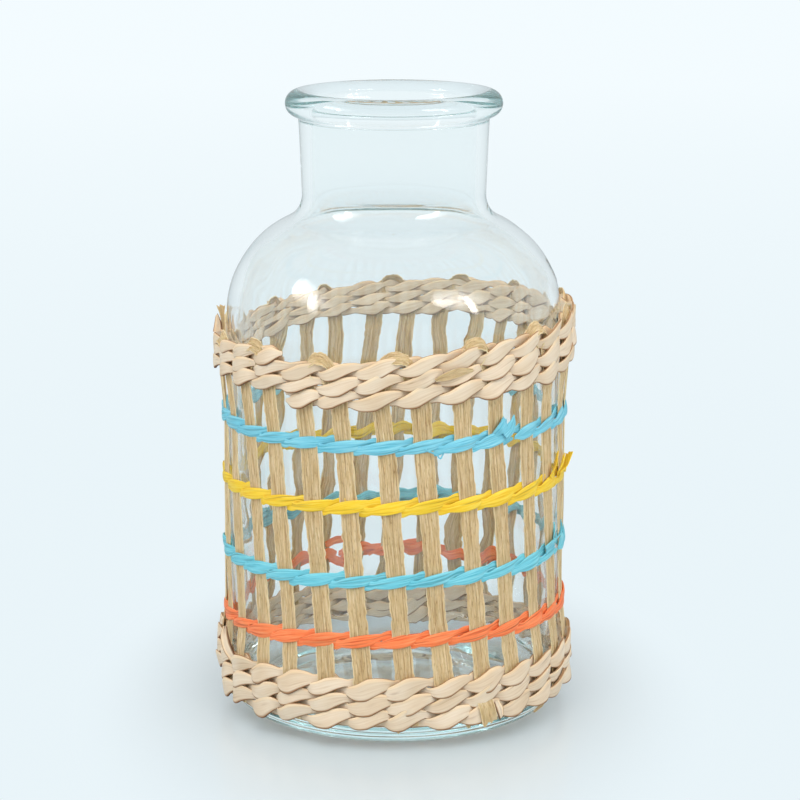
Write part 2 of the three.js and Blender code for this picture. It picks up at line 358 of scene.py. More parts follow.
def math_node(tree, operation, first, second=None, clamp=False):
    node = add_node(tree, "ShaderNodeMath", operation=operation, use_clamp=clamp)
    for socket, value in zip(node.inputs, (first, second)):
        if isinstance(value, (int, float)):
            socket.default_value = value
        elif value is not None:
            tree.links.new(value, socket)
    return node.outputs[0]


def mix_colours(tree, share, first, second, blend="MIX"):
    """Mixes two colours, each a value or a socket. The node takes them in sockets 6 and 7."""
    node = add_node(tree, "ShaderNodeMix", data_type="RGBA", blend_type=blend)
    if isinstance(share, float):
        node.inputs[0].default_value = share
    else:
        tree.links.new(share, node.inputs[0])
    for socket, colour in ((node.inputs[6], first), (node.inputs[7], second)):
        if isinstance(colour, tuple):
            socket.default_value = (*colour, 1)
        else:
            tree.links.new(colour, socket)
    return node.outputs[2]


def finish_surface(tree, colour, bump_source, bump_depth, roughness, subsurface=0.2):
    bump = add_node(
        tree, "ShaderNodeBump", {"Height": bump_source},
        {"Strength": 1.0, "Distance": bump_depth * MM})
    shader = add_node(
        tree, "ShaderNodeBsdfPrincipled", {"Base Color": colour, "Normal": bump.outputs["Normal"]},
        {
            "Roughness": roughness, "Specular IOR Level": STRIP_SHEEN, "Subsurface Weight": subsurface,
            "Subsurface Radius": SUBSURFACE_RADIUS, "Subsurface Scale": SUBSURFACE_SCALE * MM})
    add_node(tree, "ShaderNodeOutputMaterial", {"Surface": shader.outputs["BSDF"]})


def clear_glass():
    """Glass that lamplight passes straight through, so that the sleeve behind it is lit."""
    material, tree = make_material("clear_glass")
    glass = add_node(
        tree, "ShaderNodeBsdfPrincipled",
        values={
            "Base Color": (*GLASS_COLOUR, 1), "Roughness": 0.0, "IOR": GLASS_INDEX,
            "Transmission Weight": 1.0})
    clear = add_node(tree, "ShaderNodeBsdfTransparent", values={"Color": (*WHITE, 1)})
    path = add_node(tree, "ShaderNodeLightPath")
    lamp_ray = math_node(
        tree, "MAXIMUM", path.outputs["Is Shadow Ray"], path.outputs["Is Diffuse Ray"])
    mix = add_node(
        tree, "ShaderNodeMixShader",
        {0: lamp_ray, 1: glass.outputs["BSDF"], 2: clear.outputs["BSDF"]})
    tint = add_node(
        tree, "ShaderNodeVolumeAbsorption",
        values={"Color": (*GLASS_TINT, 1), "Density": GLASS_TINT_DENSITY})
    add_node(
        tree, "ShaderNodeOutputMaterial",
        {"Surface": mix.outputs["Shader"], "Volume": tint.outputs["Volume"]})
    return material


def tan_paper():
    material, tree = make_material("tan_paper")
    streaks = uv_noise(tree, (34, 15, 1), 6.0, 0.35)
    tone = uv_noise(tree, (9, 1.6, 1), 2.0)
    colour = colour_ramp(tree, streaks, [
        (0.3, (0.42, 0.265, 0.12)), (0.41, (0.6, 0.435, 0.22)),
        (0.54, (0.71, 0.55, 0.315)), (0.72, (0.85, 0.715, 0.485))])
    shade = colour_ramp(tree, tone, [(0.3, (0.86, 0.84, 0.8)), (0.62, WHITE)])
    colour = mix_colours(tree, 1.0, colour, shade, "MULTIPLY")
    flecks = colour_ramp(tree, uv_noise(tree, (120, 19, 1), 3.0), [
        (0.32, (0.62, 0.54, 0.44)), (0.44, WHITE)])
    colour = mix_colours(tree, 1.0, colour, flecks, "MULTIPLY")
    # Both edges of the strip are lightened to pale tan as a painted highlight
    from_middle = math_node(tree, "ABSOLUTE", math_node(tree, "SUBTRACT", uv_across(tree), 0.5))
    past_edge = math_node(tree, "SUBTRACT", from_middle, EDGE_HIGHLIGHT_START)
    edge = math_node(tree, "MULTIPLY", past_edge, EDGE_HIGHLIGHT_CONTRAST, True)
    painted_edge_highlight = (0.86, 0.71, 0.45)
    colour = mix_colours(tree, edge, colour, painted_edge_highlight)
    # Creases are darkened towards brown as painted shade
    depth = math_node(tree, "MULTIPLY", crease_shade_of(tree), 0.8)
    painted_crease_shade = (0.33, 0.19, 0.075)
    colour = mix_colours(tree, depth, colour, painted_crease_shade)
    finish_surface(tree, colour, streaks, bump_depth=0.14, roughness=0.8, subsurface=0.6)
    return material


def pale_leaf():
    material, tree = make_material("pale_leaf")
    streaks = uv_noise(tree, (70, 34, 1), 4.0)
    tone = uv_noise(tree, (84, 1.2, 1), 1.0)
    lines = colour_ramp(tree, streaks, [
        (0.3, (0.66, 0.5, 0.34)), (0.42, (0.79, 0.64, 0.47)), (0.7, (0.86, 0.73, 0.57))])
    shade = colour_ramp(tree, tone, [(0.3, (0.9, 0.85, 0.78)), (0.6, WHITE)])
    colour = mix_colours(tree, 1.0, lines, shade, "MULTIPLY")
    brown_rim_and_painted_shadow = (0.17, 0.08, 0.035)
    brown = (0.5, 0.34, 0.22)
    painted_highlight_cream = (1.12, 1.06, 0.95)
    # Round a blade, its lower edge lies at a quarter and its upper edge at three quarters.
    # The lower edge is its brown rim darkened further by painted shadow of the seam; the upper edge is
    # a brown line between painted cream highlights.
    edge = colour_ramp(tree, uv_across(tree), [
        (0.12, WHITE), (0.165, brown), (0.22, brown_rim_and_painted_shadow), (0.28, brown_rim_and_painted_shadow), (0.335, brown), (0.38, WHITE),
        (0.58, WHITE), (0.64, painted_highlight_cream), (0.7, painted_highlight_cream), (0.735, brown), (0.765, brown), (0.8, painted_highlight_cream),
        (0.86, painted_highlight_cream), (0.92, WHITE)])
    colour = mix_colours(tree, 1.0, colour, edge, "MULTIPLY")
    # Creases are darkened towards brown as painted shade
    depth = math_node(tree, "MULTIPLY", crease_shade_of(tree), 0.7)
    painted_crease_shade = (0.42, 0.26, 0.14)
    colour = mix_colours(tree, depth, colour, painted_crease_shade)
    finish_surface(tree, colour, streaks, bump_depth=0.06, roughness=0.55)
    return material


def raffia(name, deep, plain, light):
    material, tree = make_material(name)
    streaks = uv_noise(tree, (30, 24, 1), 4.0, 0.1)
    colour = colour_ramp(tree, streaks, [(0.3, deep), (0.48, plain), (0.7, light)])
    # Creases are darkened towards a deeper colour as painted shade
    depth = math_node(tree, "MULTIPLY", crease_shade_of(tree), 0.75)
    painted_crease_shade = tuple(0.45 * channel for channel in deep)
    colour = mix_colours(tree, depth, colour, painted_crease_shade)
    finish_surface(tree, colour, streaks, bump_depth=0.08, roughness=0.5)
    return material


# Glass bottle: a profile of extruded points, spun round the axis
def arc(centre, radii, start, end, steps):
    turns = np.radians(np.linspace(start, end, steps))
    return [(centre[0] + radii[0] * math.cos(t), centre[1] + radii[1] * math.sin(t)) for t in turns]


def bottle_profile():
    """Radius and height of each point, from under the base, up outside and down inside."""
    shoulder = BODY_RADIUS - SHOULDER_RADIUS
    fillet = NECK_RADIUS + NECK_FILLET
    sweep = math.degrees(math.acos((fillet - shoulder) / (SHOULDER_RADIUS + NECK_FILLET)))
    fillet_height = BODY_HEIGHT + (SHOULDER_RADIUS + NECK_FILLET) * math.sin(math.radians(sweep))
    neck_top = fillet_height + NECK_LENGTH
    rim_radius = NECK_RADIUS + NECK_FLARE
    rim_top = neck_top + RIM_HEIGHT
    rim_middle = neck_top + RIM_HEIGHT / 2
    half_rim = RIM_HEIGHT / 2
    ring_outer = BODY_RADIUS - HEEL_RADIUS
    ring_inner = ring_outer - STANDING_RING_WIDTH
    inner_body = BODY_RADIUS - WALL
    inner_heel = inner_body - INNER_HEEL_RADIUS
    inner_neck = NECK_RADIUS - WALL
    floor_height = PUSH_UP_HEIGHT + BASE_THICKNESS
    lip_reach = WALL + LIP_INSET
    inner_shoulder = SHOULDER_RADIUS - WALL
    inner_fillet = NECK_FILLET + WALL
    profile = []
    # Push-up, heel and body
    for share in np.linspace(0, 1, 9):
        profile.append((ring_inner * share, PUSH_UP_HEIGHT * (1 - share * share)))
    profile += arc((ring_outer, HEEL_RADIUS), (HEEL_RADIUS, HEEL_RADIUS), -90, 0, 11)
    for share in np.linspace(0.08, 0.92, 9):
        profile.append((BODY_RADIUS, HEEL_RADIUS + (BODY_HEIGHT - HEEL_RADIUS) * share))
    # Shoulder, neck and rim
    profile += arc((shoulder, BODY_HEIGHT), (SHOULDER_RADIUS, SHOULDER_RADIUS), 0, sweep, 18)
    profile += arc((fillet, fillet_height), (NECK_FILLET, NECK_FILLET), 180 + sweep, 180, 11)[1:]
    for share in (0.25, 0.5, 0.75):
        profile.append((NECK_RADIUS + NECK_FLARE * share, fillet_height + NECK_LENGTH * share))
    drop = math.sqrt(half_rim * half_rim + 2 * half_rim * RIM_FILLET)
    lean = math.degrees(math.atan2(RIM_FILLET, drop))
    under = (rim_radius + RIM_FILLET, rim_middle - drop)
    profile += arc(under, (RIM_FILLET, RIM_FILLET), 180, 90 + lean, 8)
    profile += arc((rim_radius, rim_middle), (RIM_OVERHANG, half_rim), lean - 90, 90, 24)[1:]
    # Lip and bore, with a first step close under the lip that keeps its edge crisp
    edge_turn = math.radians(LIP_EDGE_ANGLE)
    lip_width = -lip_reach / math.cos(edge_turn)
    lip_height = LIP_DROP / (1 - math.sin(edge_turn))
    lip_middle = (rim_radius, rim_top - lip_height)
    profile += arc(lip_middle, (lip_width, lip_height), 90, LIP_EDGE_ANGLE, 15)[1:]
    mouth = rim_radius - lip_reach
    edge_height = rim_top - LIP_DROP
    for share in (0.995, 0.8, 0.6, 0.4, 0.2):
        bore = inner_neck + (mouth - inner_neck) * share
        profile.append((bore, fillet_height + (edge_height - fillet_height) * share))
    # Inside of the shoulder, the body, the heel and the base
    profile += arc((fillet, fillet_height), (inner_fillet, inner_fillet), 180, 180 + sweep, 15)
    profile += arc((shoulder, BODY_HEIGHT), (inner_shoulder, inner_shoulder), sweep, 0, 18)[1:]
    heel_height = floor_height + INNER_HEEL_RADIUS
    for share in np.linspace(0.95, 0.05, 22):
        profile.append((inner_body, heel_height + (BODY_HEIGHT - heel_height) * share))
    profile += arc((inner_heel, heel_height), (INNER_HEEL_RADIUS, INNER_HEEL_RADIUS), 0, -90, 11)
    for share in (0.8, 0.6, 0.4, 0.2, 0.0):
        profile.append((inner_heel * share, floor_height))
    return profile


def wave_glass(piece, rng):
    """Waves both walls between the base and the neck."""
    points = np.empty(len(piece.data.vertices) * 3)
    piece.data.vertices.foreach_get("co", points)
    points = points.reshape(-1, 3) / MM
    radius = np.hypot(points[:, 0], points[:, 1])
    azimuth = np.arctan2(points[:, 0], -points[:, 1])
    height = points[:, 2]
    foot, full_above = WAVE_FOOT
    full_below, top = WAVE_TOP
    share = ease((height - foot) / (full_above - foot)) * ease((top - height) / (top - full_below))
    outer = radius >= BODY_RADIUS - WALL / 2
    for wall, depth in ((outer, OUTER_WAVE), (~outer, INNER_WAVE)):
        wave = np.zeros_like(height)
        for _ in range(WAVE_COUNT):
            lobes = rng.integers(*WAVE_LOBES)
            length = rng.uniform(*WAVE_LENGTHS) * rng.choice((-1, 1))
            wave += np.sin(lobes * azimuth + math.tau * height / length + rng.uniform(0, math.tau))
        reach = np.where(wall, depth * wave * share, 0)
        points[:, 0] += np.sin(azimuth) * reach
        points[:, 1] -= np.cos(azimuth) * reach
    lay_points(piece, points)


def make_bottle(material):
    profile = bottle_profile()
    bpy.ops.object.select_all(action="DESELECT")
    bpy.ops.mesh.primitive_plane_add(size=MM)
    piece = start_piece("bottle_glass")
    bpy.ops.object.mode_set(mode="EDIT")
    bpy.ops.mesh.select_all(action="SELECT")
    bpy.ops.mesh.merge(type="CENTER")
    bpy.ops.transform.translate(value=(0, 0, profile[0][1] * MM))
    for (radius, height), (next_radius, next_height) in zip(profile, profile[1:]):
        step = ((next_radius - radius) * MM, 0, (next_height - height) * MM)
        bpy.ops.mesh.extrude_region_move(TRANSFORM_OT_translate={"value": step})
    bpy.ops.mesh.select_all(action="SELECT")
    bpy.ops.mesh.spin(steps=BOTTLE_SIDES, angle=math.tau, center=(0, 0, 0), axis=(0, 0, 1))
    bpy.ops.mesh.select_all(action="SELECT")
    bpy.ops.mesh.remove_doubles(threshold=MERGE_GAP * MM)
    bpy.ops.mesh.normals_make_consistent(inside=False)
    bpy.ops.object.mode_set(mode="OBJECT")
    bpy.ops.object.shade_smooth()
    wave_glass(piece, np.random.default_rng(SEED))
    finish_piece(piece, material, "bottle", "clear_glass", "glass_bottle")


# Twined strands: outside one upright, inside the next, crossing their partner in the gaps.
# Places along a strand are counted in crossings, with an upright at each whole number.
STATIONS_PER_CROSSING = 16
STRAND_START = -0.47
STRAND_SHORTFALL = 0.06
END_TAPER = 0.3
END_HEIGHT = 0.45
END_DEPTH = 0.5
PINCHED_DEPTH = 0.6
DEPTH_SPREAD = 0.15
SECTION_FULLNESS = 0.9
CLIMB_BENDS = (0.35, 0.1)
GROOVE_DRIFT = 0.22
GROOVE_DRIFT_RATE = 0.8
GROOVE_FADE = 0.6
GROOVE_FADE_RATE = 1.3


# A lay says how a strand is twined:
# front and pinch are half its height at an upright and where it is thinnest, in shares of the pitch
# lens is how far from the upright it is thinnest, and taper how rounded a stitch is
# lead and early keep it outside for longer and sooner, and dive is how steeply it goes inside
# climb is how far it rises across its row, and skew bends that rise
# edge and bulge shape its section, less edge being squarer
# groove is the depth of its creases, grooves their places and creased their mean strength
# wobble, roll, uneven and shift are its random rise, tilt, size and place along the row
def leaf_lay(band):
    first, start = band_start(band)
    return {
        "radius": BAND_RADIUS, "offset": LEAF_OFFSET, "thickness": LEAF_THICKNESS, "girth": 36,
        "first": first, "crossings": 2 * HAIRPIN_COUNT * BAND_TURNS, "level": band["height"],
        "height_at": lambda azimuth: band_height(band, azimuth, (azimuth - start) / 360),
        "pitch_at": lambda azimuth: band_pitch(band, azimuth),
        "front": 0.64, "pinch": 0.24, "lens": 0.56, "taper": 1.3,
        "lead": 0.12, "early": 0.0, "dive": 0.9, "climb": 0.28, "skew": -0.3,
        "edge": 0.36, "bulge": 1.0,
        "groove": 0.03, "grooves": (-0.5, 0.1, 0.55), "groove_width": 0.05, "creased": -0.3,
        "wobble": 0.2, "roll": 8.0, "uneven": 0.11, "shift": 0.07,
    }


def raffia_lay(row):
    return {
        "radius": ROW_RADIUS, "offset": RAFFIA_OFFSET, "thickness": RAFFIA_THICKNESS, "girth": 44,
        "first": first_upright_after(row["join"], row["height"]),
        "crossings": 2 * HAIRPIN_COUNT, "level": row["height"],
        "height_at": lambda azimuth: row_height(row, azimuth),
        "pitch_at": lambda azimuth: np.full_like(azimuth, RAFFIA_HEIGHT),
        "front": 0.43, "pinch": 0.24, "lens": 0.5, "taper": 2.4,
        "lead": 0.0, "early": 0.15, "dive": 2.2, "climb": 0.24, "skew": 1.0,
        "edge": 0.75, "bulge": 1.35,
        "groove": 0.13, "grooves": (-0.5, 0.0, 0.45), "groove_width": 0.09, "creased": 0.2,
        "wobble": 0.12, "roll": 7.0, "uneven": 0.08, "shift": 0.04,
    }


def stitch_swell(lay, crossing, strand):
    """1 outside an upright and inside the next, 0 where the strand is thinnest between them."""
    from_front = np.abs((crossing - strand + 1) % 2 - 1)
    thinned = np.minimum(from_front / lay["lens"], (1 - from_front) / (1 - lay["lens"]))
    return 1 - thinned ** lay["taper"]


def strand_grooves(lay, crossing, up, rng):
    """Creases along a strand that wander and fade in and out."""
    grooves = np.zeros_like(up)
    for start in lay["grooves"]:
        middle = start + GROOVE_DRIFT * wander(rng, crossing * GROOVE_DRIFT_RATE)
        fade = GROOVE_FADE * wander(rng, crossing * GROOVE_FADE_RATE)
        strength = np.clip(lay["creased"] + fade, 0, 1)
        grooves += np.exp(-(((up - middle) / lay["groove_width"]) ** 2)) * strength
    return grooves


def twined_strand(name, lay, strand, rng):
    crossings = lay["crossings"]
    piece, along, around = grid_piece(name, crossings * STATIONS_PER_CROSSING, lay["girth"])
    crossing = STRAND_START + along * (crossings - STRAND_SHORTFALL)
    uprights = np.arange(-1, crossings + 1)
    azimuths = upright_azimuth(lay["first"] + uprights, lay["level"])
    azimuth = np.interp(crossing, uprights, azimuths)
    pitch = lay["pitch_at"](azimuth)
    crossing = crossing + lay["shift"] * wander(rng, crossing)
    turn = math.pi * (crossing - strand)
    side = np.cos(turn + math.pi * lay["early"]) + lay["lead"]
    reach = lay["offset"] * np.tanh(lay["dive"] * side) / math.tanh(lay["dive"])
    bend = CLIMB_BENDS[0] * np.sin(2 * turn) - CLIMB_BENDS[1] * np.sin(3 * turn)
    climb = (np.sin(turn) - lay["skew"] * bend) * pitch * lay["climb"]
    climb = climb + wander(rng, crossing) * lay["wobble"]
    size = 1 + lay["uneven"] * wander(rng, crossing)
    swell = stitch_swell(lay, crossing, strand)
    half_height = pitch * (lay["pinch"] + (lay["front"] - lay["pinch"]) * swell) * size
    ends = ease(np.minimum(along, 1 - along) * crossings / END_TAPER)
    half_height *= END_HEIGHT + (1 - END_HEIGHT) * ends
    half_depth = lay["thickness"] / 2 * (1 + DEPTH_SPREAD * wander(rng, crossing))
    half_depth *= END_DEPTH + (1 - END_DEPTH) * ends
    half_depth *= PINCHED_DEPTH + (1 - PINCHED_DEPTH) * swell
    turn_round = math.tau * around + math.pi
    across = np.cos(turn_round)
    up = np.sin(turn_round)
    depth = half_depth * np.sign(across) * np.abs(across) ** lay["edge"]
    depth = np.where(across > 0, depth * lay["bulge"], depth)
    rise = half_height * np.sign(up) * np.abs(up) ** SECTION_FULLNESS
    grooves = strand_grooves(lay, crossing, up, rng)
    depth -= lay["groove"] * grooves * across
    roll = np.radians(lay["roll"] * wander(rng, crossing))
    out = depth * np.cos(roll) - rise * np.sin(roll)
    rise = depth * np.sin(roll) + rise * np.cos(roll)
    height = lay["height_at"](azimuth) + climb + rise
    lay_points(piece, place(azimuth, lay["radius"] + reach + out, height))
    # The grooves also darken the strand's colour there as painted shade
    mark_crease_shade(piece, grooves)
    close_tube()
    return piece


# Hairpins: a paper strip up one upright, over the top band and down the next
LEG_STEPS = 120
LOOP_STEPS = 40
STRIP_STEPS = 36
FOOT_LIFT = 0.3
LEG_SMOOTHING = 4
TWIST_SMOOTHING = 3
STRIP_FULLNESS = 1.04
FOLD_DEPTH = 0.14
FOLD_PLACES = (0.1, 0.3, 0.5, 0.7, 0.9)
FOLD_SPREAD = 0.05
FOLD_WIDTH = 0.022
FOLD_STRENGTH = 0.55
RAG_SHARPNESS = 6
CRINKLE_LENGTH = 16

# Crinkles of a strip: their depth, and their number across it
HAIRPIN_CRINKLES = ((0.12, 5), (0.05, 12))

# Random curves of a strip: their depth, and their length in steps along it
WIDTH_WAVES = ((0.05, 20), (0.012, 3))
BEND_WAVES = ((0.1, 18),)
SHIFT_WAVES = ((0.24, 30),)
RAG_WAVES = ((0.13, 1.5),)
FOLD_WAVES = ((0.05, 20), (0.012, 5))
FADE_WAVES = ((0.5, 12),)


def leg_route(upright, loop_foot):
    """Middle line of one leg from its foot to the loop, and the direction across it."""
    foot, bottom_top = band_edges(BOTTOM_BAND, upright)
    top_foot = band_edges(TOP_BAND, upright)[0]
    heights = [foot + FOOT_LIFT, bottom_top]
    radii = [BAND_RADIUS, BAND_RADIUS]
    for row in ROWS.values():
        azimuth = upright_azimuth(upright, row["height"])
        heights.append(float(row_height(row, azimuth)))
        radii.append(ROW_RADIUS)
    heights += [top_foot, loop_foot - LOOP_TWIST]
    radii += [BAND_RADIUS, BAND_RADIUS]
    levels = np.linspace(heights[0], heights[-1], LEG_STEPS)
    radius = np.interp(levels, heights, radii)
    radius = smooth_rows(radius[:, None], LEG_SMOOTHING)[:, 0]
    azimuth = upright_azimuth(upright, levels)
    gather = math.degrees((LEG_SPACING - LOOP_SPAN) / 2 / BAND_RADIUS)
    gather = gather * ease((levels - top_foot) / (heights[-1] - top_foot))
    azimuth = azimuth + np.where(upright % 2 == 0, gather, -gather)
    return place(azimuth, radius, levels), sideways(azimuth)


def hairpin_route(number, rng):
    """Middle line of the strip, the direction across it and its width, from one foot to the other."""
    legs = (2 * number, 2 * number + 1)
    loop_foot = max(band_edges(TOP_BAND, leg)[1] for leg in legs) - LOOP_SINK
    ends = [float(upright_azimuth(leg, loop_foot)) for leg in legs]
    turns = np.radians(np.linspace(0, 180, LOOP_STEPS))
    azimuth = sum(ends) / 2 - np.degrees(LOOP_SPAN / 2 * np.cos(turns) / BAND_RADIUS)
    rise = LOOP_RISE * (1 + LOOP_RISE_SPREAD * rng.normal())
    arch = np.sin(turns)
    loop = place(azimuth, BAND_RADIUS + LOOP_REACH * arch, loop_foot + rise * arch)
    lean = math.radians(LOOP_LEAN + LOOP_LEAN_SPREAD * rng.normal())
    loop_across = outward(azimuth) * math.cos(lean)
    loop_across[:, 2] = -math.sin(lean)
    up_leg, up_across = leg_route(legs[0], loop_foot)
    down_leg, down_across = leg_route(legs[1], loop_foot)
    middle_line = np.concatenate([up_leg, loop, down_leg[::-1]])
    across = np.concatenate([up_across, loop_across, -down_across[::-1]])
    leg_width = np.full(LEG_STEPS, STRIP_WIDTH)
    width = np.concatenate([leg_width, np.full(LOOP_STEPS, LOOP_WIDTH), leg_width])
    return middle_line, across, width


def crinkle(rng, side, row, steps, folds):
    """Lengthwise creases of a strip that wander as they run along it."""
    distance = np.arange(steps, dtype=float)
    ridges = np.stack([wander(rng, distance / CRINKLE_LENGTH) for _ in range(folds + 2)])
    place_across = side * folds
    fold = np.floor(place_across).astype(int)
    share = ease(place_across - fold)
    return ridges[fold, row] * (1 - share) + ridges[fold + 1, row] * share


def strip_folds(rng, side, row, steps):
    """Sharp folds along a strip that wander and fade in and out."""
    distance = np.arange(steps, dtype=float)
    folds = np.zeros_like(side)
    for middle in FOLD_PLACES:
        path = middle + FOLD_SPREAD * rng.normal()
        path = path + wanders(rng, distance, FOLD_WAVES)
        strength = np.clip(FOLD_STRENGTH + wanders(rng, distance, FADE_WAVES), 0, 1)
        folds += np.exp(-(((side - path[row]) / FOLD_WIDTH) ** 2)) * strength[row]
    return folds


def make_hairpin(number, material, rng):
    middle, across, width = hairpin_route(number, rng)
    across = unit(smooth_rows(across, TWIST_SMOOTHING))
    steps = len(middle)
    piece, along, side = grid_piece(f"hairpin_{number + 1:02d}", steps - 1, STRIP_STEPS)
    row = np.rint(along * (steps - 1)).astype(int)
    ahead = unit(np.gradient(middle, axis=0))
    through = unit(np.cross(ahead, across))
    distance = np.arange(steps, dtype=float)
    size = width * (STRIP_FULLNESS + wanders(rng, distance, WIDTH_WAVES))
    bend = wanders(rng, distance, BEND_WAVES)
    shift = wanders(rng, distance, SHIFT_WAVES)
    offset = side - 0.5
    folds = strip_folds(rng, side, row, steps)
    pleat = FOLD_DEPTH * folds
    for depth, ridges in HAIRPIN_CRINKLES:
        pleat = pleat + depth * crinkle(rng, side, row, steps, ridges)
    ragged = wanders(rng, distance, RAG_WAVES)
    edge = np.sign(offset) * (np.abs(offset) * 2) ** RAG_SHARPNESS * ragged[row]
    points = middle[row]
    points = points + across[row] * (offset * size[row] + shift[row] + edge)[:, None]
    points = points + through[row] * (pleat + bend[row])[:, None]
    lay_points(piece, points)
    # The folds also darken the paper's colour there as painted shade
    mark_crease_shade(piece, folds)
    move_uvs(piece, number)
    thicken(piece, STRIP_THICKNESS)
    finish_piece(piece, material, "sleeve", "tan_paper", f"paper_hairpin_{number + 1:02d}")


# Loose ends: stations of azimuth, radius, height, twist in degrees and width
RIBBON_STEPS = 40
RIBBON_SIDES = 10
RIBBON_THICKNESS = 0.28
RIBBON_SMOOTHING = 4
RIBBON_CRINKLE = 0.07
RIBBON_RIDGES = 4
RIBBON_FOLD_DEPTH = 0.08
# How strongly a ribbon's folds are darkened as painted shade
RIBBON_CREASE_SHADE = 0.6
TORN_DEPTH = 0.3
TORN_TEETH = 7
TORN_FROM = 0.8

# Length that one UV map covers, and the share across it that shows a strand's outer face
STRIP_LENGTHS = {"tan_paper": 250.0, "pale_leaf": 985.0}
RAFFIA_LENGTH = 324.0
OUTER_FACE = (0.25, 0.75)

LOOSE_ENDS = {
    "folded_foot": ("tan_paper", [
        (29.4, 53.2, 14.4, 0, 4.9), (29.7, 54.6, 12.3, 0, 5.1), (30.4, 54.85, 9.2, 0, 5.2),
        (30.9, 54.5, 6.7, 0, 5.0)]),
    "foot_scrap": ("pale_leaf", [
        (33.4, 54.2, 13.2, 10, 1.6), (34.4, 54.7, 10.6, 5, 2.6), (35.3, 54.5, 7.6, 0, 1.3)]),
    "frayed_foot_1": ("tan_paper", [
        (1.0, 52.7, 8.2, 0, 2.6), (1.3, 52.5, 6.8, 0, 2.0), (1.6, 52.0, 5.8, 20, 0.8)]),
    "frayed_foot_2": ("tan_paper", [
        (24.2, 52.7, 8.4, 0, 2.2), (24.4, 52.4, 6.6, 0, 1.6), (24.9, 51.9, 5.5, 20, 0.7)]),
    "frayed_foot_3": ("tan_paper", [
        (60.0, 52.3, 8.2, 20, 1.0), (57.0, 52.6, 6.4, 30, 1.1), (51.6, 52.6, 5.4, 30, 0.6)]),
    "blue_knot": ("sky_blue_paper", [
        (33.9, 51.6, 92.2, 0, 2.0), (35.3, 52.8, 93.9, 0, 3.2), (36.7, 52.8, 95.4, 0, 3.0),
        (38.0, 51.7, 96.8, 0, 1.6)]),
    "blue_flap": ("sky_blue_paper", [
        (37.0, 52.4, 91.8, 0, 4.2), (39.4, 52.6, 93.6, 0, 4.0), (40.6, 52.5, 95.4, 0, 2.2),
        (41.1, 52.3, 97.2, 0, 0.3)]),
    "blue_wisp": ("sky_blue_paper", [
        (9.5, 52.3, 90.1, 0, 0.5), (13.3, 52.4, 88.5, 0, 0.35), (14.6, 52.3, 86.9, 0, 0.3),
        (15.9, 52.3, 89.2, 0, 0.2)]),
    "yellow_end_1": ("yellow_paper", [
        (62.6, 52.1, 74.6, 0, 2.6), (64.6, 52.3, 77.2, 25, 2.6), (66.0, 52.4, 79.5, 35, 2.2),
        (67.0, 52.5, 82.0, 35, 1.4)]),
    "yellow_end_2": ("yellow_paper", [
        (67.4, 52.3, 75.0, 20, 2.2), (71.0, 52.6, 76.9, 35, 1.9), (73.0, 52.8, 80.0, 40, 1.0)]),
    "yellow_end_3": ("yellow_paper", [
        (69.0, 52.5, 74.4, 20, 2.4), (73.2, 53.1, 75.9, 45, 2.4), (75.6, 53.4, 77.9, 55, 2.1),
        (77.2, 53.7, 79.8, 60, 2.6)]),
    "turquoise_end_1": ("turquoise_paper", [
        (59.0, 52, 53.2, 0, 2.8), (64.5, 52.3, 54.7, 15, 2.6), (69.2, 52.5, 55.4, 35, 2.0),
        (72.0, 52.6, 57.2, 50, 1.2), (72.0, 52.4, 60.0, 50, 0.3)]),
    "turquoise_end_2": ("turquoise_paper", [
        (66.2, 51.5, 53.4, 20, 2.4), (67.3, 51.5, 56.7, 25, 2.2), (67.6, 51.6, 58.5, 25, 1.8),
        (67.2, 51.6, 60.0, 25, 1.2)]),
    "orange_tail_1": ("orange_paper", [
        (-153.0, 50.6, 36.0, 0, 1.8), (-157.5, 50.5, 36.9, 0, 2.2), (-161.0, 50.5, 36.6, 0, 2.0),
        (-164.0, 50.7, 35.4, 0, 1.6)]),
    "orange_tail_2": ("orange_paper", [
        (-154.4, 50.7, 33.6, 0, 3.6), (-156.6, 50.5, 31.4, 0, 3.4), (-160.5, 50.5, 30.2, 0, 2.9),
        (-165.0, 50.6, 30.4, 0, 2.2)]),
    "orange_tail_3": ("orange_paper", [(-169.5, 50.6, 30.8, 0, 0.9), (-174.5, 50.6, 32.9, 0, 0.8)]),
    "right_strip_end": ("tan_paper", [
        (91.0, 52.5, 114.5, 80, 3.2), (91.0, 52.65, 118.5, 90, 3.5), (91.0, 52.75, 122.3, 95, 3.5)]),
    "left_strip_end": ("tan_paper", [
        (-88.0, 51.2, 114.0, 70, 1.8), (-88.0, 51.1, 117.6, 80, 1.1), (-88.0, 51.4, 119.8, 92, 1.3),
        (-88.0, 51.8, 122.8, 100, 2.8)]),
    "left_leaf_scrap": ("pale_leaf", [
        (-85.0, 52.7, 114.8, 90, 3.0), (-85.5, 52.6, 117.6, 90, 2.2), (-86.0, 52.9, 120.3, 90, 0.3)]),
    "leaf_curl": ("pale_leaf", [
        (-63.5, 53.4, 19.0, 0, 3.8), (-67.5, 54.2, 21.8, 25, 3.6), (-70.5, 54.2, 24.8, 50, 2.6),
        (-71.0, 53.6, 27.6, 60, 0.9)]),
    "tucked_strip": ("tan_paper", [
        (12.2, 54.1, 110.3, 0, 0.6), (15.2, 54.55, 111.3, 0, 2.3), (19.8, 54.6, 112.5, 0, 2.7),
        (24.7, 54.1, 112.6, 0, 0.7)]),
}


